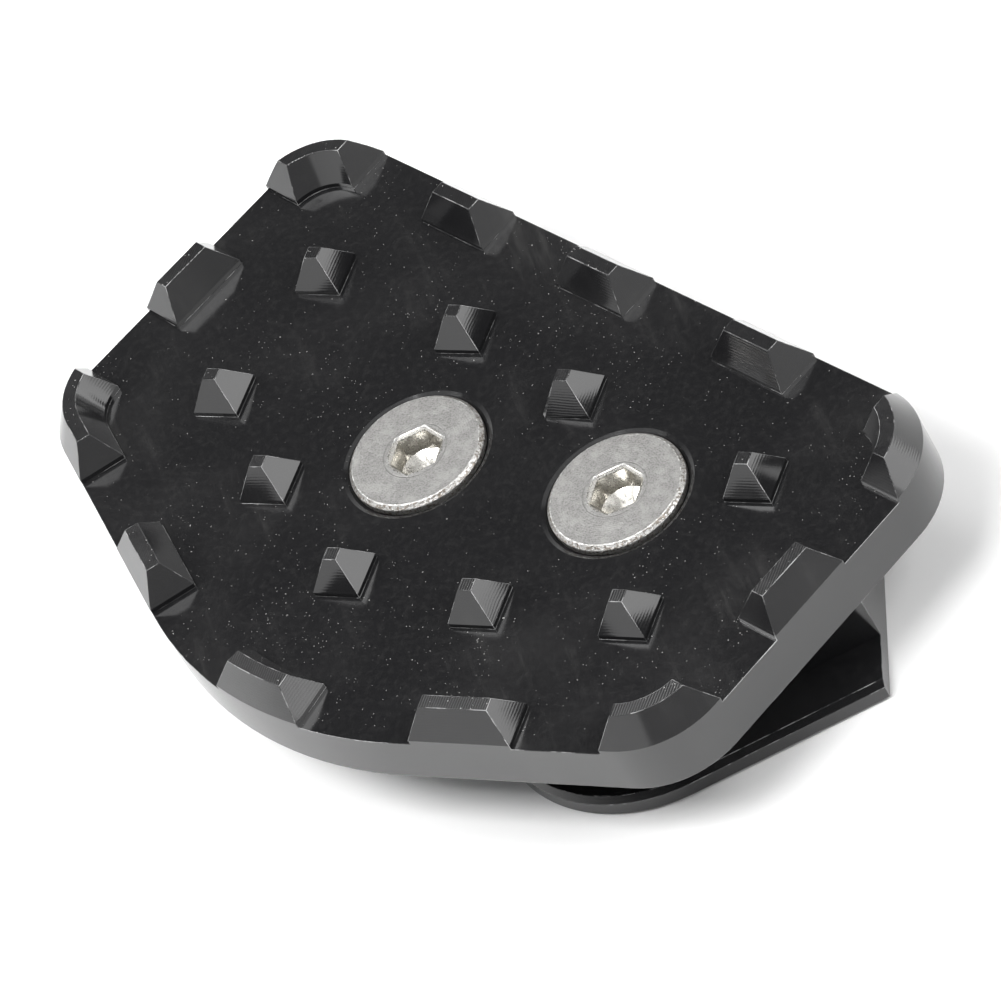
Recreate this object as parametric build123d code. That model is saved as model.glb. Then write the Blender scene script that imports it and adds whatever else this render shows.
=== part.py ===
"""Brake pedal extension: a toothed tread plate screwed to a clamp block under the pedal.

The pedal's own step lies round the block's boss, between the block's flange and the plate.
Millimetres. Origin on the block's flat underside, midway between the two screws. +Z is up
through the plate, +X runs along the plate's straight front edge, +Y points to its back edge.
"""
import os
from math import cos, radians, sin, tan

from build123d import *

# Tread plate, milled from one blank
plate_thickness = 4.5          # from the underside to the milled floor
tooth_height = 3.0             # from the floor to the top of the blank
tooth_step = 0.45              # upright foot that the flank cutter leaves
flank_angle = 30.0             # of every tooth flank, from upright
land_width = 1.2               # flat top of a tooth

# Edges of the plate: how far each lies from the origin, and its angle, going anticlockwise
front_reach = 26.7
right_reach = 32.5
right_edge_angle = 66.2
back_reach = 20.4
back_edge_angle = 156.5
left_reach = 44.4
left_edge_angle = 244.7
front_left_reach = 30.9
front_left_edge_angle = 313.7
plate_corner_radius = 8.0
front_sweep_radius = 36.5      # the long curve between the front and front left edges
plate_edge_break = 0.15        # round the underside

# Teeth on a straight edge: where each foot starts and ends, from the edge's first corner
front_teeth = [(17.7, 26.8)]
right_teeth = [(12.5, 20.7)]
back_teeth = [(16.8, 24.9), (35.5, 43.4), (52.5, 60.0)]
left_teeth = [(14.6, 22.4)]
front_left_teeth = [(18.9, 27.3)]
# Teeth that wrap a corner: how far the foot reaches along the edge before it and after it
front_right_wrap = (6.3, 6.0)
back_right_wrap = (8.1, 7.4)
back_left_wrap = (7.5, 7.6)
left_wrap = (5.4, 9.6)
sweep_tooth_angles = (241.7, 256.5)   # the tooth on the long curve, as directions from its centre

# Pyramid studs on the floor, in a ring round the screws
stud_centres = [
    (-25.7, 20.0), (-10.0, 14.1), (2.6, 7.7), (-30.3, 7.0), (-22.2, -1.8),
    (-11.6, -10.8), (1.8, -13.3), (15.5, -13.8), (21.7, -0.1),
]

# Countersunk screws, M6 by 12
screw_pitch = 19.9
screw_line_angle = -9.5        # of the line through both screws
thread_radius = 3.0
screw_length = 12.0
head_radius = 5.9
head_rim = 0.9                 # upright rim above the cone
head_proud = 0.5               # how far the head stands above the floor
head_edge = 0.33               # bevel round the top of the head
tip_bevel = 0.6
socket_flats = 4.0             # hexagon across flats
socket_depth = 2.3
socket_bevel = 0.25            # widened mouth of the hexagon
socket_pilot_radius = 2.1      # drilled before the hexagon is pressed
socket_pilot_top = 1.0         # where the pilot shows below the head
socket_point_angle = 118.0
socket_turn = 34.0             # direction of a corner of the tightened hexagon
seat_clearance = 0.05
mouth_break_width = 0.2        # the countersink's mouth, opened past its cone
mouth_break_depth = 0.12
thread_clearance = 0.05
thread_lead = 0.5              # chamfer at both ends of a threaded hole
hole_radius = 3.3              # clearance hole through the plate

# Clamp block: a flange under the pedal and a boss inside its window
flange_thickness = 2.0
boss_height = 7.35
ledge_width = 4.8              # flange beyond the boss, all round but at the end face
flange_bevel = 0.5
block_edge_break = 0.3
# Its edges, given as the plate's are; its back and left edges run along the plate's
block_sweep_reach = 15.3
block_sweep_angle = 325.0
block_front_reach = 27.2
block_front_angle = 36.4
block_end_reach = 25.9
block_end_angle = 110.8
block_back_reach = 15.7
block_left_reach = 21.0
block_front_radius = 13.0
block_corner_radius = 8.0

# Heights from the block's underside
plate_underside = flange_thickness + boss_height
floor = plate_underside + plate_thickness
blank_top = floor + tooth_height
flank_height = tooth_height - tooth_step
flank_run = flank_height * tan(radians(flank_angle))
ridge_width = 2 * flank_run + land_width


# An edge is its direction and its reach
front_edge = (0.0, front_reach)
right_edge = (right_edge_angle, right_reach)
back_edge = (back_edge_angle, back_reach)
left_edge = (left_edge_angle, left_reach)
front_left_edge = (front_left_edge_angle, front_left_reach)
block_sides = [
    (back_edge_angle, block_back_reach), (left_edge_angle, block_left_reach),
    (block_sweep_angle, block_sweep_reach), (block_front_angle, block_front_reach),
]
block_end = (block_end_angle, block_end_reach)


def outward(edge):
    """Unit vector square to an edge, away from the outline; outlines run anticlockwise."""
    angle = radians(edge[0] - 90)
    return Vector(cos(angle), sin(angle))


def along(edge):
    """Unit vector along an edge."""
    angle = radians(edge[0])
    return Vector(cos(angle), sin(angle))


def meet(first, second, grow=0.0):
    """Point where two edges cross, both moved outward by grow."""
    a, b = outward(first), outward(second)
    reach_a, reach_b = first[1] + grow, second[1] + grow
    det = a.X * b.Y - a.Y * b.X
    return Vector((reach_a * b.Y - reach_b * a.Y) / det, (reach_b * a.X - reach_a * b.X) / det)


def rounded_outline(edges, radii, grow=0.0):
    """Closed face inside the edges; radii[i] rounds the corner that starts edge i."""
    corners = [meet(edges[i - 1], edges[i], grow) for i in range(len(edges))]
    face = Sketch() + make_face(Polyline(*corners, close=True))
    for corner, radius in zip(corners, radii):
        if radius + grow > 0:
            face = fillet(face.vertices().sort_by_distance(corner)[0], radius + grow)
    return face


plate_edges = [front_edge, right_edge, back_edge, left_edge, front_left_edge]
plate_radii = [front_sweep_radius] + [plate_corner_radius] * 4


def plate_outline(inset=0.0):
    """Plate's plan shape, drawn in by inset."""
    return rounded_outline(plate_edges, plate_radii, -inset)


def raised(footprint):
    """Solid on the floor: an upright step, then flanks that lean in up to the blank's top."""
    step = extrude(Pos(0, 0, floor) * footprint, amount=tooth_step)
    flanks = extrude(Pos(0, 0, floor + tooth_step) * footprint, amount=flank_height, taper=flank_angle)
    return step + flanks


def edge_ridge():
    """Unbroken ridge round the plate, before the gaps between the teeth are cut."""
    inner_foot = extrude(Pos(0, 0, floor) * plate_outline(ridge_width), amount=tooth_step)
    inner_top = Pos(0, 0, blank_top) * plate_outline(flank_run + land_width)
    inner_flank = extrude(inner_top, amount=-flank_height, taper=flank_angle)
    return raised(plate_outline()) - inner_foot - inner_flank


tooth_reach_out = flank_run + 2.0          # a tooth's block of ridge, outside and inside the edge
tooth_reach_in = ridge_width + flank_run + 0.8


def edge_point(edge, start, distance, inset):
    """Point along an edge from its start corner, moved inward by inset."""
    return start + along(edge) * distance - outward(edge) * inset


def straight_tooth(edge, previous, span):
    """Footprint across the ridge between two distances along an edge."""
    start = meet(previous, edge)
    outer = [edge_point(edge, start, place, -tooth_reach_out) for place in span]
    inner = [edge_point(edge, start, place, tooth_reach_in) for place in reversed(span)]
    return make_face(Polyline(*outer, *inner, close=True))


def corner_tooth(edge, following, wrap):
    """Footprint that wraps the corner between an edge and the next."""
    corner = meet(edge, following)
    before, after = wrap
    outer = [edge_point(edge, corner, -before, -tooth_reach_out),
             meet(edge, following, tooth_reach_out),
             edge_point(following, corner, after, -tooth_reach_out)]
    inner = [edge_point(following, corner, after, tooth_reach_in),
             edge_point(edge, corner, -before, tooth_reach_in)]
    return make_face(Polyline(*outer, *inner, close=True))


def sweep_tooth():
    """Footprint across the ridge on the long front curve, with radial ends."""
    centre = meet(front_left_edge, front_edge, -front_sweep_radius)
    ends = [Vector(cos(radians(a)), sin(radians(a))) for a in sweep_tooth_angles]
    outer = [centre + end * (front_sweep_radius + tooth_reach_out) for end in ends]
    inner = [centre + end * (front_sweep_radius - tooth_reach_in) for end in reversed(ends)]
    return make_face(Polyline(*outer, *inner, close=True))


def tooth_footprints():
    """Footprints of every tooth on the rim."""
    spans = [front_teeth, right_teeth, back_teeth, left_teeth, front_left_teeth]
    feet = [straight_tooth(edge, plate_edges[i - 1], span)
            for i, edge in enumerate(plate_edges) for span in spans[i]]
    feet += [corner_tooth(front_edge, right_edge, front_right_wrap),
             corner_tooth(right_edge, back_edge, back_right_wrap),
             corner_tooth(back_edge, left_edge, back_left_wrap),
             corner_tooth(left_edge, front_left_edge, left_wrap),
             sweep_tooth()]
    return feet


def rim_teeth():
    """Every tooth on the rim: the ridge kept only over the tooth footprints."""
    ridge = edge_ridge()
    return [ridge & raised(foot) for foot in tooth_footprints()]


def studs():
    """Pyramid studs with flat tops, square to the plate's front edge."""
    foot = Rectangle(ridge_width, ridge_width)
    return [raised(Pos(x, y) * foot) for x, y in stud_centres]


def screw_places():
    """Plan positions of the screws, left then right."""
    half = screw_pitch / 2
    return [Pos(side * half * cos(radians(screw_line_angle)), side * half * sin(radians(screw_line_angle)))
            for side in (-1, 1)]


head_underside = floor + head_proud - head_rim   # where the rim meets the cone
countersink_radius = head_radius + (head_rim - head_proud) + seat_clearance


def screw_passage():
    """Clearance hole and countersink for one screw, at the origin."""
    cone_height = countersink_radius - hole_radius
    hole = Pos(0, 0, plate_underside) * extrude(Circle(hole_radius), amount=plate_thickness)
    cone = Pos(0, 0, floor - cone_height / 2) * Cone(hole_radius, countersink_radius, cone_height)
    mouth = Cone(countersink_radius - mouth_break_depth, countersink_radius + mouth_break_width,
                 mouth_break_depth)
    return hole + cone + Pos(0, 0, floor - mouth_break_depth / 2) * mouth


def tread_plate():
    """Plate with its rim teeth, studs and two countersunk holes."""
    slab = extrude(Pos(0, 0, plate_underside) * plate_outline(), amount=plate_thickness)
    slab = chamfer(slab.faces().sort_by(Axis.Z)[0].edges(), plate_edge_break)
    plate = slab + rim_teeth() + studs()
    return plate - [place * screw_passage() for place in screw_places()]


def block_outline(inset=0.0):
    """Clamp block's plan shape, drawn in by inset except at the flat end face."""
    edges = [block_end] + [(direction, reach - inset) for direction, reach in block_sides]
    rounds = [0, 0, block_corner_radius, block_corner_radius, block_front_radius]
    return rounded_outline(edges, [radius - inset if radius else 0 for radius in rounds])


def threaded_hole():
    """Hole through the block for one screw's thread, with a lead at each end, at the origin."""
    radius = thread_radius + thread_clearance
    hole = extrude(Circle(radius), amount=plate_underside)
    lead = Cone(radius + thread_lead, radius, thread_lead)
    below = Pos(0, 0, thread_lead / 2) * lead
    above = Pos(0, 0, plate_underside - thread_lead / 2) * Rot(180, 0, 0) * lead
    return hole + below + above


def clamp_block():
    """Flange with a bevelled top edge, the boss on it and two threaded holes."""
    upright = flange_thickness - flange_bevel
    flange = extrude(block_outline(), amount=upright)
    flange += loft([Pos(0, 0, upright) * block_outline(),
                    Pos(0, 0, flange_thickness) * block_outline(flange_bevel)])
    boss = extrude(Pos(0, 0, flange_thickness) * block_outline(ledge_width), amount=boss_height)
    block = flange + boss
    underside = block.faces().sort_by(Axis.Z)[0]
    block = chamfer(underside.edges(), block_edge_break)
    return block - [place * threaded_hole() for place in screw_places()]


def socket():
    """Hexagon socket below a plane at Z zero: widened mouth, flats, pilot bore and point."""
    across = socket_flats / 2
    mouth = RegularPolygon(across + socket_bevel, 6, major_radius=False)
    flats = RegularPolygon(across, 6, major_radius=False)
    bevel = loft([mouth, Pos(0, 0, -socket_bevel) * flats])
    hexagon = extrude(flats, amount=-socket_depth)
    pilot_depth = socket_depth - socket_pilot_top
    pilot = Pos(0, 0, -socket_pilot_top) * extrude(Circle(socket_pilot_radius), amount=-pilot_depth)
    point = socket_pilot_radius / tan(radians(socket_point_angle / 2))
    tip = Pos(0, 0, -socket_depth - point / 2) * Cone(0, socket_pilot_radius, point)
    return bevel + hexagon + pilot + tip


def screw():
    """Countersunk screw at the origin, its head at its height in the plate."""
    top = floor + head_proud
    bottom = top - screw_length
    cone_bottom = head_underside - (head_radius - thread_radius)
    profile = Polyline(
        (0, top), (head_radius - head_edge, top), (head_radius, top - head_edge),
        (head_radius, head_underside), (thread_radius, cone_bottom),
        (thread_radius, bottom + tip_bevel), (thread_radius - tip_bevel, bottom), (0, bottom),
        close=True,
    )
    body = revolve(make_face(Plane.XZ * profile), Axis.Z)
    return body - Pos(0, 0, top) * socket()


def parts():
    """Every node of the assembly by name."""
    nodes = {"tread_plate": tread_plate(), "clamp_block": clamp_block()}
    for side, place in zip(("left", "right"), screw_places()):
        nodes[f"screw_{side}"] = place * Rot(0, 0, socket_turn) * screw()
    return nodes


os.makedirs("parts", exist_ok=True)
for name, solid in parts().items():
    export_step(solid, f"parts/{name}.step")
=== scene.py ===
"""Looks of a brake pedal extension: tread plate, clamp block and two countersunk screws."""
from math import atan2, cos, hypot, radians, sin, tau

import bmesh
import bpy
from bpy.props import FloatProperty, FloatVectorProperty, PointerProperty
from mathutils import Matrix, Vector


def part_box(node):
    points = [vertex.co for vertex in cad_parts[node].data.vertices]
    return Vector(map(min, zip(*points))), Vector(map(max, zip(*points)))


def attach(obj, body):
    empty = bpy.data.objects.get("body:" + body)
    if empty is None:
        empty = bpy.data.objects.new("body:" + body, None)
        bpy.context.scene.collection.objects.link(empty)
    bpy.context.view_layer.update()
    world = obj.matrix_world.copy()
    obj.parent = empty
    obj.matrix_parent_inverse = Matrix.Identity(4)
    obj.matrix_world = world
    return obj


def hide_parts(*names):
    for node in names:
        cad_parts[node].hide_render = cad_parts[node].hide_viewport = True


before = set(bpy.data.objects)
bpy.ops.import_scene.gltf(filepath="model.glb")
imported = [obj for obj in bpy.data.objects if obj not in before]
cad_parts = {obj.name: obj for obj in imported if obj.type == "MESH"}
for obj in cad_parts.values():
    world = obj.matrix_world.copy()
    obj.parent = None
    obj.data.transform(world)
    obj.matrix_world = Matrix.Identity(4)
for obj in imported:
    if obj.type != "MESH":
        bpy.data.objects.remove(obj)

bl_info = {
    "name": "Brake Pedal Extension",
    "version": (1, 0, 0),
    "blender": (4, 5, 0),
    "location": "3D View > Sidebar > Pedal",
    "description": "Finishes the tread plate, clamp block and screws, and sets up the studio",
    "category": "Object",
}

MM = 0.001

# Attributes that the materials read: the scuffed edges together with the painted highlight along the feet of the
# teeth, the screws' plan map and the countersinks' walls.
SCUFF_AND_HIGHLIGHT = "worn"
TURNED = "turned"
BORE = "bore"

# What the finish changes in the meshes.
MERGE_DISTANCE = 0.001 * MM
FLAT_ANGLE = radians(0.6)
SHARP_ANGLE = radians(16)
BREAK_ANGLE = radians(35)
FOLD_ANGLE = radians(140)
FOLD_AREA = 0.003 * MM * MM
# Share of the scuff mark that the fillets at the feet of the teeth carry, as a painted highlight.
FOOT_HIGHLIGHT = 0.5
BORE_RADIUS = 8.0 * MM
BORE_DEPTH = 0.06 * MM

SCREWS = ("screw_left", "screw_right")
THREAD_STEPS = 8
THREAD_RADIUS = 3.0 * MM
HOLE_CLEARANCE = 0.05 * MM
WALL_TOLERANCE = 0.01 * MM

# What the materials use. A face counts as level between these two upward shares of its normal, and as a
# tooth's top within LAND_DEPTH of the plate's highest point.
LEVEL_FACE = (0.6, 0.95)
LAND_DEPTH = 0.05 * MM
ANODISED_IOR = 1.73
ANODISED_BUMP = 0.0012 * MM
STEEL_BUMP = 0.02 * MM
RUBBED_STEEL = (0.9, 0.9, 0.88)
SOCKET_STEEL = (0.6, 0.585, 0.55)

# Azimuth, elevation, distance, size and turn of each lamp. Angles are in degrees. Its power is in the settings.
LAMPS = {
    "key": (-90, 64.5, 0.5, (0.22, 0.15), 0),
    "top": (0, 90, 0.6, (0.75, 0.75), 45),
    "softbox": (140, 66, 1.2, (0.54, 0.54), 0),
    "right": (10, 42, 0.5, (0.25, 0.25), 0),
    "left": (-160, 45, 0.3, (0.12, 0.1), 0),
    "side": (30, 8, 0.6, (0.6, 0.16), 0),
}

# Floor: half its width, its own light and how far it lies below the part.
FLOOR_SIZE = 3.0
FLOOR_GLOW = 0.03
FLOOR_GAP = 0.02 * MM

# World: the horizon's brightness, the heights between which it fades to the ceiling, and the share of the
# light that diffuse rays go without.
HORIZON_LEVEL = 1.15
HORIZON_HEIGHTS = (0.2, 0.72)
DIFFUSE_LOSS = 0.75

# Gap in the horizon: azimuth and elevation, the angles from there at which it begins and is full, both in
# degrees, and its brightness.
GAP_MIDDLE = (-42, 14)
GAP_ANGLES = (40, 33)
GAP_LEVEL = 0.38


class PlateSettings(bpy.types.PropertyGroup):
    """Finish of the black anodised plate and block."""

    edge_break: FloatProperty(
        name="Edge Break", description="Width of the bevel on every sharp outward edge",
        default=0.04 * MM, min=0.0, unit="LENGTH", subtype="DISTANCE")
    foot_fillet: FloatProperty(
        name="Foot Fillet", description="Width of the fillet at the feet of the teeth and studs",
        default=0.04 * MM, min=0.0, unit="LENGTH", subtype="DISTANCE")
    tooth_height: FloatProperty(
        name="Tooth Height", description="From the plate's milled floor to its teeth's flat tops",
        default=3.0 * MM, min=0.0, unit="LENGTH", subtype="DISTANCE")
    anodise_colour: FloatVectorProperty(
        name="Anodise", description="Colour of the dyed surface",
        default=(0.007, 0.007, 0.0075), subtype="COLOR")
    dust_colour: FloatVectorProperty(
        name="Dust", description="Colour of the specks that lie on the plate",
        default=(0.62, 0.61, 0.59), subtype="COLOR")
    # Also the colour of the painted highlight along the feet of the teeth.
    scuff_and_highlight_colour: FloatVectorProperty(
        name="Worn Edge", description="Colour of the metal where an edge is rubbed",
        default=(0.36, 0.36, 0.36), subtype="COLOR")


class ScrewSettings(bpy.types.PropertyGroup):
    """Thread and finish of the stainless screws."""

    thread_pitch: FloatProperty(
        name="Thread Pitch", description="Distance from one thread to the next",
        default=1.0 * MM, min=0.2 * MM, unit="LENGTH", subtype="DISTANCE")
    thread_depth: FloatProperty(
        name="Thread Depth", description="Depth of the thread's groove",
        default=0.55 * MM, min=0.0, unit="LENGTH", subtype="DISTANCE")
    edge_break: FloatProperty(
        name="Edge Break", description="Width of the bevel on the screw's sharp outward edges",
        default=0.05 * MM, min=0.0, unit="LENGTH", subtype="DISTANCE")
    steel_colour: FloatVectorProperty(
        name="Steel", description="Colour of the bare stainless",
        default=(0.375, 0.37, 0.36), subtype="COLOR")
    stain_colour: FloatVectorProperty(
        name="Stain", description="Colour in the pits round the head's rim",
        default=(0.20, 0.17, 0.14), subtype="COLOR")


class StudioSettings(bpy.types.PropertyGroup):
    """Camera, floor and lamps."""

    camera_azimuth: FloatProperty(
        name="Azimuth", description="Direction of the camera about the vertical, from the X axis",
        default=radians(-45.934), subtype="ANGLE")
    camera_elevation: FloatProperty(
        name="Elevation", description="Height of the camera above the horizon",
        default=radians(43.788), subtype="ANGLE")
    camera_roll: FloatProperty(
        name="Roll", description="Turn of the camera about its own axis",
        default=radians(-31.967), subtype="ANGLE")
    camera_distance: FloatProperty(
        name="Distance", description="From the camera to the point it looks at",
        default=556.6 * MM, min=0.1, unit="LENGTH", subtype="DISTANCE")
    camera_target: FloatVectorProperty(
        name="Target", description="Point that the camera looks at",
        default=(-0.424 * MM, -2.753 * MM, 13.85 * MM), subtype="TRANSLATION")
    focal_length: FloatProperty(
        name="Focal Length", description="Lens of the camera in millimetres",
        default=251.748, min=20.0, subtype="DISTANCE_CAMERA")
    key_power: FloatProperty(
        name="Key Lamp", description="Power of the soft lamp high in front of the part",
        default=1.75, min=0.0, unit="POWER")
    top_power: FloatProperty(
        name="Top Lamp", description="Power of the wide lamp overhead",
        default=0.9, min=0.0, unit="POWER")
    softbox_power: FloatProperty(
        name="Softbox", description="Power of the softbox high behind the part",
        default=2.9, min=0.0, unit="POWER")
    right_power: FloatProperty(
        name="Right Lamp", description="Power of the soft lamp at the right",
        default=1.5, min=0.0, unit="POWER")
    left_power: FloatProperty(
        name="Left Lamp", description="Power of the lamp that brightens the floor at the left",
        default=0.38, min=0.0, unit="POWER")
    side_power: FloatProperty(
        name="Side Panel", description="Power of the low bright panel at the right",
        default=0.46, min=0.0, unit="POWER")
    floor_colour: FloatVectorProperty(
        name="Floor", description="Colour of the floor",
        default=(0.92, 0.92, 0.92), subtype="COLOR")
    ceiling_level: FloatProperty(
        name="Ceiling", description="Brightness of the dim ceiling above the bright horizon",
        default=0.03, min=0.0, max=1.0, subtype="FACTOR")


def new_group(name, inputs, outputs):
    """Empty shader node group with float inputs (name, default) and outputs (name, socket type)."""
    group = bpy.data.node_groups.new(name, "ShaderNodeTree")
    for label, default in inputs:
        socket = group.interface.new_socket(label, in_out="INPUT", socket_type="NodeSocketFloat")
        socket.default_value = default
    for label, kind in outputs:
        group.interface.new_socket(label, in_out="OUTPUT", socket_type=kind)
    return group, group.nodes.new("NodeGroupInput"), group.nodes.new("NodeGroupOutput")


def add_node(tree, kind, inputs=None, **settings):
    """New node with its settings; inputs maps a socket to a value or to another node's socket."""
    made = tree.nodes.new(kind)
    for key, value in settings.items():
        setattr(made, key, value)
    for key, value in (inputs or {}).items():
        if isinstance(value, bpy.types.NodeSocket):
            tree.links.new(value, made.inputs[key])
        else:
            made.inputs[key].default_value = value
    return made


def maths(tree, operation, first, second=0.0, clamp=False):
    """Output of a maths node."""
    made = add_node(tree, "ShaderNodeMath", {0: first, 1: second}, operation=operation, use_clamp=clamp)
    return made.outputs[0]


def weighted(tree, total, *terms):
    """Sum of a start value and of masks times their weights."""
    for mask, weight in terms:
        total = maths(tree, "ADD", total, maths(tree, "MULTIPLY", mask, weight))
    return total


def ranged(tree, value, low, high, to_low=0.0, to_high=1.0):
    """Output of a smooth map range from low and high to to_low and to_high."""
    made = add_node(tree, "ShaderNodeMapRange",
                    {"Value": value, "From Min": low, "From Max": high, "To Min": to_low, "To Max": to_high},
                    interpolation_type="SMOOTHSTEP")
    return made.outputs["Result"]


def object_point(tree):
    """Object coordinates."""
    return add_node(tree, "ShaderNodeTexCoord").outputs["Object"]


def noise(tree, scale, detail=2.0, roughness=0.5, vector=None):
    """Value of a noise texture; scale is in cycles per metre."""
    made = add_node(tree, "ShaderNodeTexNoise",
                    {"Vector": vector or object_point(tree), "Scale": scale, "Detail": detail,
                     "Roughness": roughness})
    return made.outputs["Fac"]


def mixed(tree, factor, first, second):
    """Colour output of a mix node."""
    made = add_node(tree, "ShaderNodeMix", data_type="RGBA")
    for socket, value in ((made.inputs[0], factor), (made.inputs[6], first), (made.inputs[7], second)):
        if isinstance(value, bpy.types.NodeSocket):
            tree.links.new(value, socket)
        elif socket.type == "RGBA":
            socket.default_value = (*value[:3], 1.0)
        else:
            socket.default_value = value
    return made.outputs[2]


def split_point(tree):
    """X, Y and Z of the object coordinates."""
    return add_node(tree, "ShaderNodeSeparateXYZ", {0: object_point(tree)}).outputs


def facing_up(tree, low, high):
    """Mask that rises from low to high with the upward share of the surface's normal."""
    normal = add_node(tree, "ShaderNodeNewGeometry").outputs["Normal"]
    upward = add_node(tree, "ShaderNodeSeparateXYZ", {0: normal}).outputs["Z"]
    return ranged(tree, upward, low, high)


def wave(tree, place, pitch):
    """Sine wave over a place, one turn for each pitch."""
    return maths(tree, "SINE", maths(tree, "MULTIPLY", maths(tree, "DIVIDE", place, pitch), tau))


def grain_group():
    """Fine surface grain: a value that wanders round a half."""
    group, inlet, outlet = new_group(
        "Fine Grain", [("Scale", 4000.0), ("Detail", 3.0)], [("Value", "NodeSocketFloat")])
    fine = noise(group, inlet.outputs["Scale"], inlet.outputs["Detail"], 0.6)
    group.links.new(fine, outlet.inputs["Value"])
    return group


def mill_group():
    """Parallel cutter lines on every face above a height."""
    group, inlet, outlet = new_group(
        "Mill Lines", [("Height", 0.01), ("Pitch", 0.15 * MM)], [("Value", "NodeSocketFloat")])
    point = split_point(group)
    drift = maths(group, "MULTIPLY", noise(group, 300.0), 0.2 * MM)
    line = wave(group, maths(group, "ADD", point["X"], drift), inlet.outputs["Pitch"])
    above = maths(group, "GREATER_THAN", point["Z"], inlet.outputs["Height"])
    group.links.new(maths(group, "MULTIPLY", line, above), outlet.inputs["Value"])
    return group


def flank_group():
    """Level cutter lines on leaning faces."""
    group, inlet, outlet = new_group("Flank Lines", [("Pitch", 0.2 * MM)], [("Value", "NodeSocketFloat")])
    drift = maths(group, "MULTIPLY", noise(group, 400.0, 2.0), 0.3 * MM)
    line = wave(group, maths(group, "ADD", split_point(group)["Z"], drift), inlet.outputs["Pitch"])
    leaning = maths(group, "MULTIPLY", facing_up(group, 0.2, 0.4), facing_up(group, 0.8, 0.6))
    group.links.new(maths(group, "MULTIPLY", line, leaning), outlet.inputs["Value"])
    return group


def speck_layer(group, point, cells, reach, amount):
    """Mask of round specks, one in each Voronoi cell whose random share is under amount."""
    cell = add_node(group, "ShaderNodeTexVoronoi", {"Vector": point, "Scale": cells, "Randomness": 1.0})
    pick = add_node(group, "ShaderNodeSeparateColor", {0: cell.outputs["Color"]})
    chosen = maths(group, "LESS_THAN", pick.outputs[0], amount)
    size = maths(group, "MULTIPLY", maths(group, "ADD", 0.35, pick.outputs[1]), reach)
    inside = maths(group, "LESS_THAN", cell.outputs["Distance"], size)
    bright = maths(group, "ADD", 0.1, maths(group, "MULTIPLY", pick.outputs[2], pick.outputs[2]))
    return maths(group, "MULTIPLY", chosen, maths(group, "MULTIPLY", inside, bright))


def dust_group():
    """Dust specks that lie on faces turned upward, in loose drifts."""
    group, inlet, outlet = new_group(
        "Dust Specks", [("Amount", 0.5), ("Height", 0.01)], [("Mask", "NodeSocketFloat")])
    drift = ranged(group, noise(group, 110.0, 4.0, 0.6), 0.42, 0.66, 0.15, 1.0)
    amount = maths(group, "MULTIPLY", drift, inlet.outputs["Amount"])
    swirl = add_node(group, "ShaderNodeTexNoise", {"Vector": object_point(group), "Scale": 6000.0})
    bend = add_node(group, "ShaderNodeVectorMath", {0: swirl.outputs["Color"], "Scale": 0.18 * MM},
                    operation="SCALE")
    point = add_node(group, "ShaderNodeVectorMath", {0: object_point(group), 1: bend.outputs[0]}).outputs[0]
    tiny = speck_layer(group, point, 3400.0, 0.13, amount)
    small = speck_layer(group, point, 1100.0, 0.075, maths(group, "MULTIPLY", amount, 0.3))
    large = speck_layer(group, point, 260.0, 0.032, maths(group, "MULTIPLY", amount, 0.25))
    coarse = maths(group, "MAXIMUM", small, large)
    specks = maths(group, "MAXIMUM", maths(group, "MULTIPLY", tiny, 1.3), coarse)
    above = maths(group, "GREATER_THAN", split_point(group)["Z"], inlet.outputs["Height"])
    lying = maths(group, "MULTIPLY", facing_up(group, *LEVEL_FACE), above)
    group.links.new(maths(group, "MULTIPLY", specks, lying), outlet.inputs["Mask"])
    return group


def scuff_and_highlight_group():
    """Scuffed edges and a painted highlight along the feet of the teeth: the marked faces, broken up by noise.
    """
    group, inlet, outlet = new_group(
        "Edge Wear", [("Amount", 0.6), ("Breakup", 900.0)], [("Mask", "NodeSocketFloat")])
    marked = add_node(group, "ShaderNodeAttribute", attribute_name=SCUFF_AND_HIGHLIGHT).outputs["Fac"]
    patchy = ranged(group, noise(group, inlet.outputs["Breakup"], 4.0, 0.65), 0.46, 0.62, 0.05, 1.0)
    # The marked faces hold scuffs and, at the feet of the teeth, a painted highlight.
    scuffed_and_highlit = maths(group, "MULTIPLY", marked, patchy)
    group.links.new(maths(group, "MULTIPLY", scuffed_and_highlit, inlet.outputs["Amount"]), outlet.inputs["Mask"])
    return group


def smudge_group():
    """Soft handling smudges, and within them a few fine wiping streaks."""
    group, inlet, outlet = new_group(
        "Smudges", [("Scale", 60.0), ("Stretch", 9.0)],
        [("Smudge", "NodeSocketFloat"), ("Streak", "NodeSocketFloat")])
    turned = add_node(group, "ShaderNodeVectorRotate",
                      {"Vector": object_point(group), "Angle": radians(52)}, rotation_type="Z_AXIS")
    squeeze = add_node(group, "ShaderNodeCombineXYZ", {0: 1.0, 1: inlet.outputs["Stretch"], 2: 1.0})
    along = add_node(group, "ShaderNodeVectorMath",
                     {0: turned.outputs[0], 1: squeeze.outputs[0]}, operation="MULTIPLY")
    patch = ranged(group, noise(group, inlet.outputs["Scale"], 4.0, 0.55), 0.42, 0.72)
    line = ranged(group, noise(group, inlet.outputs["Scale"], 5.0, 0.65, along.outputs[0]), 0.5, 0.75)
    group.links.new(patch, outlet.inputs["Smudge"])
    group.links.new(maths(group, "MULTIPLY", line, patch), outlet.inputs["Streak"])
    return group


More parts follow.
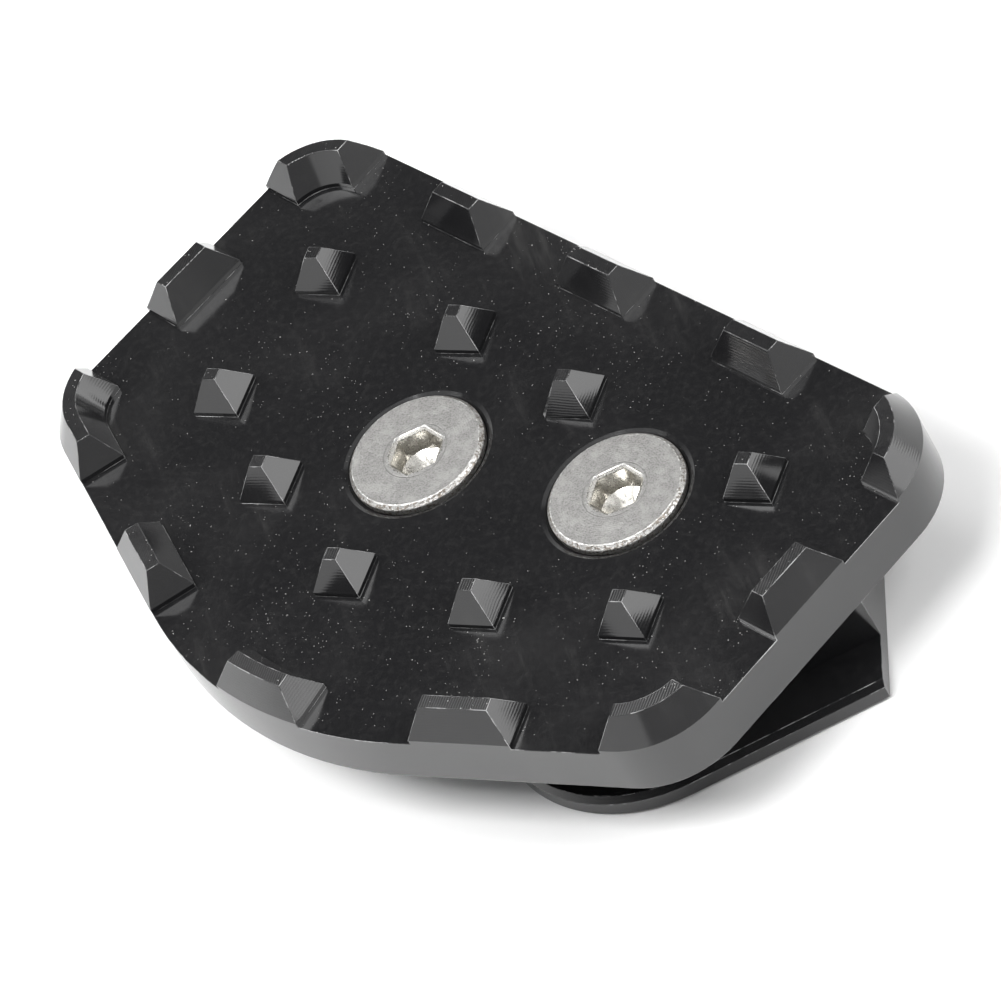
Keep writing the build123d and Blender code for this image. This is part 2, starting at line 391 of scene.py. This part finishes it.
def ring_group():
    """Turning marks of a screw head, by the distance from its axis in millimetres."""
    group, inlet, outlet = new_group(
        "Turned Rings", [("Pitch", 0.2), ("Mark Radius", 2.75), ("Mark Width", 0.09)],
        [("Rings", "NodeSocketFloat"), ("Mark", "NodeSocketFloat"), ("Rim", "NodeSocketFloat"),
         ("Socket", "NodeSocketFloat")])
    plan = add_node(group, "ShaderNodeUVMap", uv_map=TURNED).outputs["UV"]
    radius = add_node(group, "ShaderNodeVectorMath", {0: plan}, operation="LENGTH").outputs["Value"]
    rings = wave(group, radius, inlet.outputs["Pitch"])
    off = maths(group, "ABSOLUTE", maths(group, "SUBTRACT", radius, inlet.outputs["Mark Radius"]))
    share = maths(group, "DIVIDE", off, inlet.outputs["Mark Width"])
    patchy = ranged(group, noise(group, 1200.0, 3.0), 0.35, 0.6, 0.25, 1.0)
    mark = maths(group, "MULTIPLY", ranged(group, share, 0.4, 1.0, 1.0, 0.0), patchy)
    group.links.new(rings, outlet.inputs["Rings"])
    group.links.new(mark, outlet.inputs["Mark"])
    group.links.new(ranged(group, radius, 5.0, 5.5), outlet.inputs["Rim"])
    group.links.new(maths(group, "LESS_THAN", radius, 2.4), outlet.inputs["Socket"])
    return group


def shared_group(name, build):
    """Node group by name, built once."""
    return bpy.data.node_groups.get(name) or build()


def place_group(tree, group, **values):
    """Shader group node in a material, with its inputs set."""
    made = add_node(tree, "ShaderNodeGroup", node_tree=group)
    for key, value in values.items():
        made.inputs[key].default_value = value
    return made


def new_material(name):
    """Material with an empty Principled surface: material, tree and shader."""
    material = bpy.data.materials.new(name)
    material.use_nodes = True
    return material, material.node_tree, material.node_tree.nodes["Principled BSDF"]


def bump(tree, height, distance):
    """Normal of a bump whose height of 1 stands for a distance in metres."""
    made = add_node(tree, "ShaderNodeBump", {"Height": height, "Strength": 1.0, "Distance": distance})
    return made.outputs["Normal"]


def anodised_material(settings):
    """Black anodised aluminium with smudges, dust, scuffed edges, a painted highlight along the feet of the
    teeth and milled lands.
    """
    material, tree, shader = new_material("Black Anodised")
    grain = place_group(tree, shared_group("Fine Grain", grain_group), Scale=5000.0, Detail=3.0)
    low, high = (corner[2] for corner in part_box("tread_plate"))
    dust = place_group(tree, shared_group("Dust Specks", dust_group), Amount=0.7, Height=(low + high) / 2)
    scuffs_and_highlight = place_group(tree, shared_group("Edge Wear", scuff_and_highlight_group), Amount=0.75, Breakup=420.0)
    smudges = place_group(tree, shared_group("Smudges", smudge_group), Scale=70.0, Stretch=10.0)
    mill = place_group(tree, shared_group("Mill Lines", mill_group), Height=high - LAND_DEPTH, Pitch=0.22 * MM)
    dyed = tuple(settings.anodise_colour)
    paler = tuple(1.7 * value for value in dyed)
    colour = mixed(tree, grain.outputs["Value"], dyed, paler)
    film = ranged(tree, noise(tree, 1600.0, 6.0, 0.75), 0.45, 0.7, 0.0, 0.012)
    haze = weighted(tree, 0.0, (smudges.outputs["Smudge"], 0.006), (smudges.outputs["Streak"], 0.03),
                    (film, facing_up(tree, *LEVEL_FACE)))
    colour = mixed(tree, haze, colour, settings.dust_colour)
    # Scuffed edges, and a painted highlight along the feet of the teeth.
    colour = mixed(tree, scuffs_and_highlight.outputs["Mask"], colour, settings.scuff_and_highlight_colour)
    colour = mixed(tree, dust.outputs["Mask"], colour, settings.dust_colour)
    tree.links.new(colour, shader.inputs["Base Color"])
    bore = add_node(tree, "ShaderNodeAttribute", attribute_name=BORE).outputs["Fac"]
    rough = weighted(tree, 0.08, (grain.outputs["Value"], 0.05), (smudges.outputs["Smudge"], 0.05),
                     (scuffs_and_highlight.outputs["Mask"], 0.2), (dust.outputs["Mask"], 0.5), (bore, 0.3))
    tree.links.new(rough, shader.inputs["Roughness"])
    # Painted shade: the countersinks' walls reflect less, so these recesses stay dark.
    tree.links.new(ranged(tree, bore, 0.0, 1.0, 0.5, 0.15), shader.inputs["Specular IOR Level"])
    flank = place_group(tree, shared_group("Flank Lines", flank_group), Pitch=0.21 * MM)
    level = maths(tree, "MULTIPLY", flank.outputs["Value"], maths(tree, "SUBTRACT", 0.4, bore, clamp=True))
    height = weighted(tree, grain.outputs["Value"], (mill.outputs["Value"], 3.75), (level, 1.5))
    tree.links.new(bump(tree, height, ANODISED_BUMP), shader.inputs["Normal"])
    shader.inputs["IOR"].default_value = ANODISED_IOR
    return material


def stainless_material(settings):
    """Dull stainless with fine pits, a faint ring mark, a stained rim and a painted highlight on the rim's side.
    """
    material, tree, shader = new_material("Dull Stainless")
    grain = place_group(tree, shared_group("Fine Grain", grain_group), Scale=6000.0, Detail=5.0)
    scuffs_and_highlight = place_group(tree, shared_group("Edge Wear", scuff_and_highlight_group), Amount=0.9, Breakup=2500.0)
    turned = place_group(tree, shared_group("Turned Rings", ring_group))
    steel = tuple(settings.steel_colour)
    pitted = tuple(0.62 * value for value in steel)
    brighter = tuple(min(1.0, 1.35 * value) for value in steel)
    colour = mixed(tree, ranged(tree, grain.outputs["Value"], 0.32, 0.56), pitted, steel)
    cloud = ranged(tree, noise(tree, 700.0, 6.0, 0.7), 0.42, 0.66)
    colour = mixed(tree, maths(tree, "MULTIPLY", cloud, 0.55), colour, brighter)
    colour = mixed(tree, maths(tree, "MULTIPLY", turned.outputs["Mark"], 0.6), colour, pitted)
    upright = facing_up(tree, 0.75, 0.9)
    side = maths(tree, "MULTIPLY", maths(tree, "SUBTRACT", 1.0, upright), turned.outputs["Rim"])
    stain = maths(tree, "MULTIPLY", side, ranged(tree, noise(tree, 3600.0, 4.0, 0.65), 0.45, 0.6, 0.0, 0.9))
    # Painted highlight: the side of the head's rim is painted brighter.
    colour = mixed(tree, side, colour, brighter)
    colour = mixed(tree, stain, colour, settings.stain_colour)
    colour = mixed(tree, scuffs_and_highlight.outputs["Mask"], colour, RUBBED_STEEL)
    colour = mixed(tree, turned.outputs["Socket"], colour, SOCKET_STEEL)
    tree.links.new(colour, shader.inputs["Base Color"])
    rough = weighted(tree, 0.42, (grain.outputs["Value"], 0.2), (turned.outputs["Socket"], -0.24), (side, -0.12))
    tree.links.new(rough, shader.inputs["Roughness"])
    height = weighted(tree, grain.outputs["Value"], (turned.outputs["Rings"], 0.08),
                      (turned.outputs["Mark"], -0.8), (stain, 1.5), (cloud, 0.6))
    height = maths(tree, "MULTIPLY", height, maths(tree, "SUBTRACT", 1.0, turned.outputs["Socket"]))
    tree.links.new(bump(tree, height, STEEL_BUMP), shader.inputs["Normal"])
    shader.inputs["Metallic"].default_value = 1.0
    return material


def merged_copy(node):
    """Bmesh copy of a frame node with shared corners and whole flat faces."""
    bm = bmesh.new()
    bm.from_mesh(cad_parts[node].data)
    bmesh.ops.remove_doubles(bm, verts=bm.verts, dist=MERGE_DISTANCE)
    bmesh.ops.dissolve_limit(bm, angle_limit=FLAT_ANGLE, verts=bm.verts, edges=bm.edges)
    return bm


def turn_of(edge):
    """Angle between an edge's two faces: above zero where they turn outward, below where inward."""
    return edge.calc_face_angle_signed() if len(edge.link_faces) == 2 else 0.0


def bevel_edges(bm, edges, width, mark):
    """Bevels edges and writes a mark into the new faces, for the material's scuffs or its painted highlight at
    the feet.
    """
    made = bmesh.ops.bevel(bm, geom=edges, offset=width, offset_type="OFFSET", segments=2, profile=0.5,
                           affect="EDGES", clamp_overlap=False, material=-1)
    worn = bm.faces.layers.float[SCUFF_AND_HIGHLIGHT]
    for face in made["faces"]:
        face[worn] = mark


def break_edges(bm, width):
    """Bevels every sharp outward edge."""
    bm.faces.layers.float.new(SCUFF_AND_HIGHLIGHT)
    bevel_edges(bm, [edge for edge in bm.edges if turn_of(edge) > BREAK_ANGLE], width, 1.0)


def fillet_feet(bm, width, floor):
    """Fillets the inward edges that lie on a floor, and marks the fillets for a painted highlight."""
    feet = [edge for edge in bm.edges if turn_of(edge) < -BREAK_ANGLE
            and all(abs(vert.co.z - floor) < MERGE_DISTANCE for vert in edge.verts)]
    bevel_edges(bm, feet, width, FOOT_HIGHLIGHT)


def mend_folds(bm):
    """Collapses the tiny faces that fillets fold over where they meet at a corner."""
    folds = [edge for edge in bm.edges if abs(turn_of(edge)) > FOLD_ANGLE]
    tiny = {face for edge in folds for face in edge.link_faces if face.calc_area() < FOLD_AREA}
    bmesh.ops.collapse(bm, edges=list({edge for face in tiny for edge in face.edges}), uvs=False)


def mark_bores(bm, radius, top):
    """Marks the faces that lie within a radius of a screw's axis and under a height."""
    bore = bm.faces.layers.float.new(BORE)
    for axis in map(screw_axis, SCREWS):
        for face in bm.faces:
            if all(vert.co.z < top and (vert.co - axis).xy.length < radius for vert in face.verts):
                face[bore] = 1.0


def set_shading(bm):
    """Smooth faces, with every edge sharp that turns far or bounds a broken edge."""
    worn = bm.faces.layers.float[SCUFF_AND_HIGHLIGHT]
    for face in bm.faces:
        face.smooth = True
    for edge in bm.edges:
        edge.smooth = abs(turn_of(edge)) < SHARP_ANGLE and len({face[worn] for face in edge.link_faces}) == 1


def thread_share(place):
    """Share of the thread's depth at a place in its pitch: flat crest, flank, flat root."""
    return min(1.0, max(0.0, (0.875 - abs(2.0 * (place % 1.0) - 1.0)) / 0.75))


def cut_thread(bm, axis, radius, settings, low_fade):
    """Cuts a thread into the plain round wall at a radius, one ring of faces after another."""
    def on_wall(vert):
        return abs(hypot(vert.co.x - axis.x, vert.co.y - axis.y) - radius) < WALL_TOLERANCE

    walls = [face for face in bm.faces if abs(face.normal.z) < 0.01 and all(map(on_wall, face.verts))]
    bmesh.ops.delete(bm, geom=walls, context="FACES")
    rims = [edge for edge in bm.edges if edge.is_boundary]
    heights = [vert.co.z for edge in rims for vert in edge.verts]
    low, high = min(heights), max(heights)
    ring = [edge for edge in rims if edge.verts[0].co.z < (low + high) / 2]
    last = [edge for edge in rims if edge.verts[0].co.z > (low + high) / 2]
    pitch = settings.thread_pitch
    steps = round(THREAD_STEPS * (high - low) / pitch)
    for step in range(1, steps):
        made = bmesh.ops.extrude_edge_only(bm, edges=ring)["geom"]
        verts = {item for item in made if isinstance(item, bmesh.types.BMVert)}
        ring = [item for item in made if isinstance(item, bmesh.types.BMEdge) and verts.issuperset(item.verts)]
        height = low + (high - low) * step / steps
        fade = min(1.0, (height - low) / low_fade, (high - height) / pitch)
        for vert in verts:
            angle = atan2(vert.co.y - axis.y, vert.co.x - axis.x)
            depth = settings.thread_depth * fade * thread_share(height / pitch - angle / tau)
            reach = radius - depth
            vert.co = (axis.x + reach * cos(angle), axis.y + reach * sin(angle), height)
    bmesh.ops.bridge_loops(bm, edges=ring + last)
    bmesh.ops.recalc_face_normals(bm, faces=bm.faces)


def screw_axis(node):
    """Middle of a screw, in plan."""
    low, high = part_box(node)
    return Vector(((low[0] + high[0]) / 2, (low[1] + high[1]) / 2, 0.0))


def plan_map(bm, axis):
    """UV map that holds the plan place of every corner from an axis, in millimetres."""
    layer = bm.loops.layers.uv.new(TURNED)
    for face in bm.faces:
        for loop in face.loops:
            loop[layer].uv = ((loop.vert.co - axis) / MM).xy


def add_piece(bm, name, node, material):
    """Object from a bmesh that stands for a frame node."""
    set_shading(bm)
    mesh = bpy.data.meshes.new(name)
    bm.to_mesh(mesh)
    bm.free()
    mesh.materials.append(material)
    piece = bpy.data.objects.new(name, mesh)
    bpy.context.scene.collection.objects.link(piece)
    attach(piece, "root")
    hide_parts(node)
    return piece


def shared_material(name, build, settings):
    """Material by name, built once."""
    return bpy.data.materials.get(name) or build(settings)


class PEDAL_OT_tread_plate(bpy.types.Operator):
    """Finish the tread plate with broken edges and black anodising"""

    bl_idname = "pedal.tread_plate"
    bl_label = "Tread Plate"

    def execute(self, context):
        settings = context.scene.pedal_plate
        bm = merged_copy("tread_plate")
        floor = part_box("tread_plate")[1][2] - settings.tooth_height
        break_edges(bm, settings.edge_break)
        fillet_feet(bm, settings.foot_fillet, floor)
        mend_folds(bm)
        mark_bores(bm, BORE_RADIUS, floor - BORE_DEPTH)
        material = shared_material("Black Anodised", anodised_material, settings)
        add_piece(bm, "tread_plate_finish", "tread_plate", material)
        return {"FINISHED"}


class PEDAL_OT_clamp_block(bpy.types.Operator):
    """Finish the clamp block with broken edges, threaded holes and black anodising"""

    bl_idname = "pedal.clamp_block"
    bl_label = "Clamp Block"

    def execute(self, context):
        settings = context.scene.pedal_plate
        bm = merged_copy("clamp_block")
        break_edges(bm, settings.edge_break)
        thread = context.scene.pedal_screw
        for node in SCREWS:
            cut_thread(bm, screw_axis(node), THREAD_RADIUS + HOLE_CLEARANCE, thread, thread.thread_pitch)
        material = shared_material("Black Anodised", anodised_material, settings)
        add_piece(bm, "clamp_block_finish", "clamp_block", material)
        return {"FINISHED"}


class PEDAL_OT_screws(bpy.types.Operator):
    """Finish both screws with their threads in dull stainless"""

    bl_idname = "pedal.screws"
    bl_label = "Screws"

    def execute(self, context):
        settings = context.scene.pedal_screw
        material = shared_material("Dull Stainless", stainless_material, settings)
        for node in SCREWS:
            axis = screw_axis(node)
            bm = merged_copy(node)
            break_edges(bm, settings.edge_break)
            cut_thread(bm, axis, THREAD_RADIUS, settings, settings.thread_pitch / 4)
            plan_map(bm, axis)
            add_piece(bm, node + "_finish", node, material)
        return {"FINISHED"}


def toward(azimuth, elevation):
    """Unit vector at an azimuth from the X axis and an elevation above the horizon."""
    return Vector((cos(elevation) * cos(azimuth), cos(elevation) * sin(azimuth), sin(elevation)))


def aim(obj, place, target):
    """Places an object and turns its -Z axis to a target."""
    turn = (Vector(target) - Vector(place)).to_track_quat("-Z", "Y").to_matrix().to_4x4()
    obj.matrix_world = Matrix.Translation(place) @ turn


def add_lamp(name, power, azimuth, elevation, distance, size, turn):
    """Soft lamp of a width and height, at a direction and distance from the origin and aimed at it."""
    data = bpy.data.lights.new(name, "AREA")
    data.shape = "RECTANGLE"
    data.size, data.size_y = size
    data.energy = power
    lamp = bpy.data.objects.new(name, data)
    bpy.context.scene.collection.objects.link(lamp)
    aim(lamp, toward(radians(azimuth), radians(elevation)) * distance, (0.0, 0.0, 0.0))
    lamp.matrix_world = lamp.matrix_world @ Matrix.Rotation(radians(turn), 4, "Z")


def add_camera(settings):
    """Camera at the studio's view, turned about its own axis by the roll."""
    data = bpy.data.cameras.new("camera")
    data.lens = settings.focal_length
    data.sensor_width = 36.0
    data.clip_start = 0.01
    camera = bpy.data.objects.new("camera", data)
    bpy.context.scene.collection.objects.link(camera)
    back = toward(settings.camera_azimuth, settings.camera_elevation)
    target = Vector(settings.camera_target)
    aim(camera, target + back * settings.camera_distance, target)
    camera.matrix_world = camera.matrix_world @ Matrix.Rotation(settings.camera_roll, 4, "Z")
    bpy.context.scene.camera = camera


def seen_directly(tree):
    """One for camera, glossy and transmission rays, and nothing for the light that they gather."""
    path = add_node(tree, "ShaderNodeLightPath").outputs
    mirrored = maths(tree, "MAXIMUM", path["Is Glossy Ray"], path["Is Transmission Ray"])
    return maths(tree, "MAXIMUM", path["Is Camera Ray"], mirrored)


def add_floor(settings):
    """Pale floor under the part, which lightens to white where it is seen."""
    material, tree, shader = new_material("Studio Floor")
    shader.inputs["Base Color"].default_value = (*settings.floor_colour, 1.0)
    shader.inputs["Roughness"].default_value = 0.9
    shader.inputs["Specular IOR Level"].default_value = 0.0
    shader.inputs["Emission Color"].default_value = (1.0, 1.0, 1.0, 1.0)
    tree.links.new(maths(tree, "MULTIPLY", seen_directly(tree), FLOOR_GLOW), shader.inputs["Emission Strength"])
    bm = bmesh.new()
    place = Matrix.Translation((0.0, 0.0, -FLOOR_GAP))
    bmesh.ops.create_grid(bm, x_segments=1, y_segments=1, size=FLOOR_SIZE, matrix=place)
    mesh = bpy.data.meshes.new("floor")
    bm.to_mesh(mesh)
    bm.free()
    mesh.materials.append(material)
    floor = bpy.data.objects.new("floor", mesh)
    bpy.context.scene.collection.objects.link(floor)


def build_world(settings):
    """White to the camera; to the rest a white horizon, with a dim gap in it, under a dark ceiling."""
    world = bpy.data.worlds.new("studio")
    world.use_nodes = True
    tree = world.node_tree
    direction = add_node(tree, "ShaderNodeTexCoord").outputs["Generated"]
    height = add_node(tree, "ShaderNodeSeparateXYZ", {0: direction}).outputs["Z"]
    level = ranged(tree, height, *HORIZON_HEIGHTS, HORIZON_LEVEL, settings.ceiling_level)
    middle = toward(*map(radians, GAP_MIDDLE))
    nearness = add_node(tree, "ShaderNodeVectorMath", {0: direction, 1: middle},
                        operation="DOT_PRODUCT").outputs["Value"]
    outer, inner = (cos(radians(angle)) for angle in GAP_ANGLES)
    gap = ranged(tree, nearness, outer, inner, 1.0, GAP_LEVEL)
    path = add_node(tree, "ShaderNodeLightPath").outputs
    fill = maths(tree, "SUBTRACT", 1.0, maths(tree, "MULTIPLY", path["Is Diffuse Ray"], DIFFUSE_LOSS))
    level = maths(tree, "MULTIPLY", maths(tree, "MULTIPLY", level, gap), fill)
    colour = mixed(tree, path["Is Camera Ray"], level, (1.0, 1.0, 1.0))
    tree.links.new(colour, tree.nodes["Background"].inputs["Color"])
    bpy.context.scene.world = world


class PEDAL_OT_studio(bpy.types.Operator):
    """Set up the floor, the lamps, the world and the camera"""

    bl_idname = "pedal.studio"
    bl_label = "Studio"

    def execute(self, context):
        settings = context.scene.pedal_studio
        add_floor(settings)
        for name, place in LAMPS.items():
            add_lamp(name, getattr(settings, name + "_power"), *place)
        build_world(settings)
        add_camera(settings)
        context.scene.view_settings.view_transform = "Standard"
        return {"FINISHED"}


OPERATORS = (PEDAL_OT_tread_plate, PEDAL_OT_clamp_block, PEDAL_OT_screws, PEDAL_OT_studio)


class PEDAL_PT_panel(bpy.types.Panel):
    """Lists the part's operators"""

    bl_label = "Brake Pedal Extension"
    bl_idname = "PEDAL_PT_panel"
    bl_space_type = "VIEW_3D"
    bl_region_type = "UI"
    bl_category = "Pedal"

    def draw(self, context):
        for operator in OPERATORS:
            self.layout.operator(operator.bl_idname)
        for group in (context.scene.pedal_plate, context.scene.pedal_screw, context.scene.pedal_studio):
            box = self.layout.box()
            for name in group.__annotations__:
                box.prop(group, name)


GROUPS = {"pedal_plate": PlateSettings, "pedal_screw": ScrewSettings, "pedal_studio": StudioSettings}


def register():
    """Registers the settings, operators and panel."""
    for name, group in GROUPS.items():
        bpy.utils.register_class(group)
        setattr(bpy.types.Scene, name, PointerProperty(type=group))
    for cls in (*OPERATORS, PEDAL_PT_panel):
        bpy.utils.register_class(cls)


def unregister():
    """Takes the settings, operators and panel away."""
    for cls in (PEDAL_PT_panel, *reversed(OPERATORS)):
        bpy.utils.unregister_class(cls)
    for name, group in GROUPS.items():
        delattr(bpy.types.Scene, name)
        bpy.utils.unregister_class(group)


def main():
    """Builds the part and the studio."""
    register()
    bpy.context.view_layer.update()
    bpy.ops.pedal.tread_plate()
    bpy.ops.pedal.clamp_block()
    bpy.ops.pedal.screws()
    bpy.ops.pedal.studio()


if __name__ == "__main__":
    main()
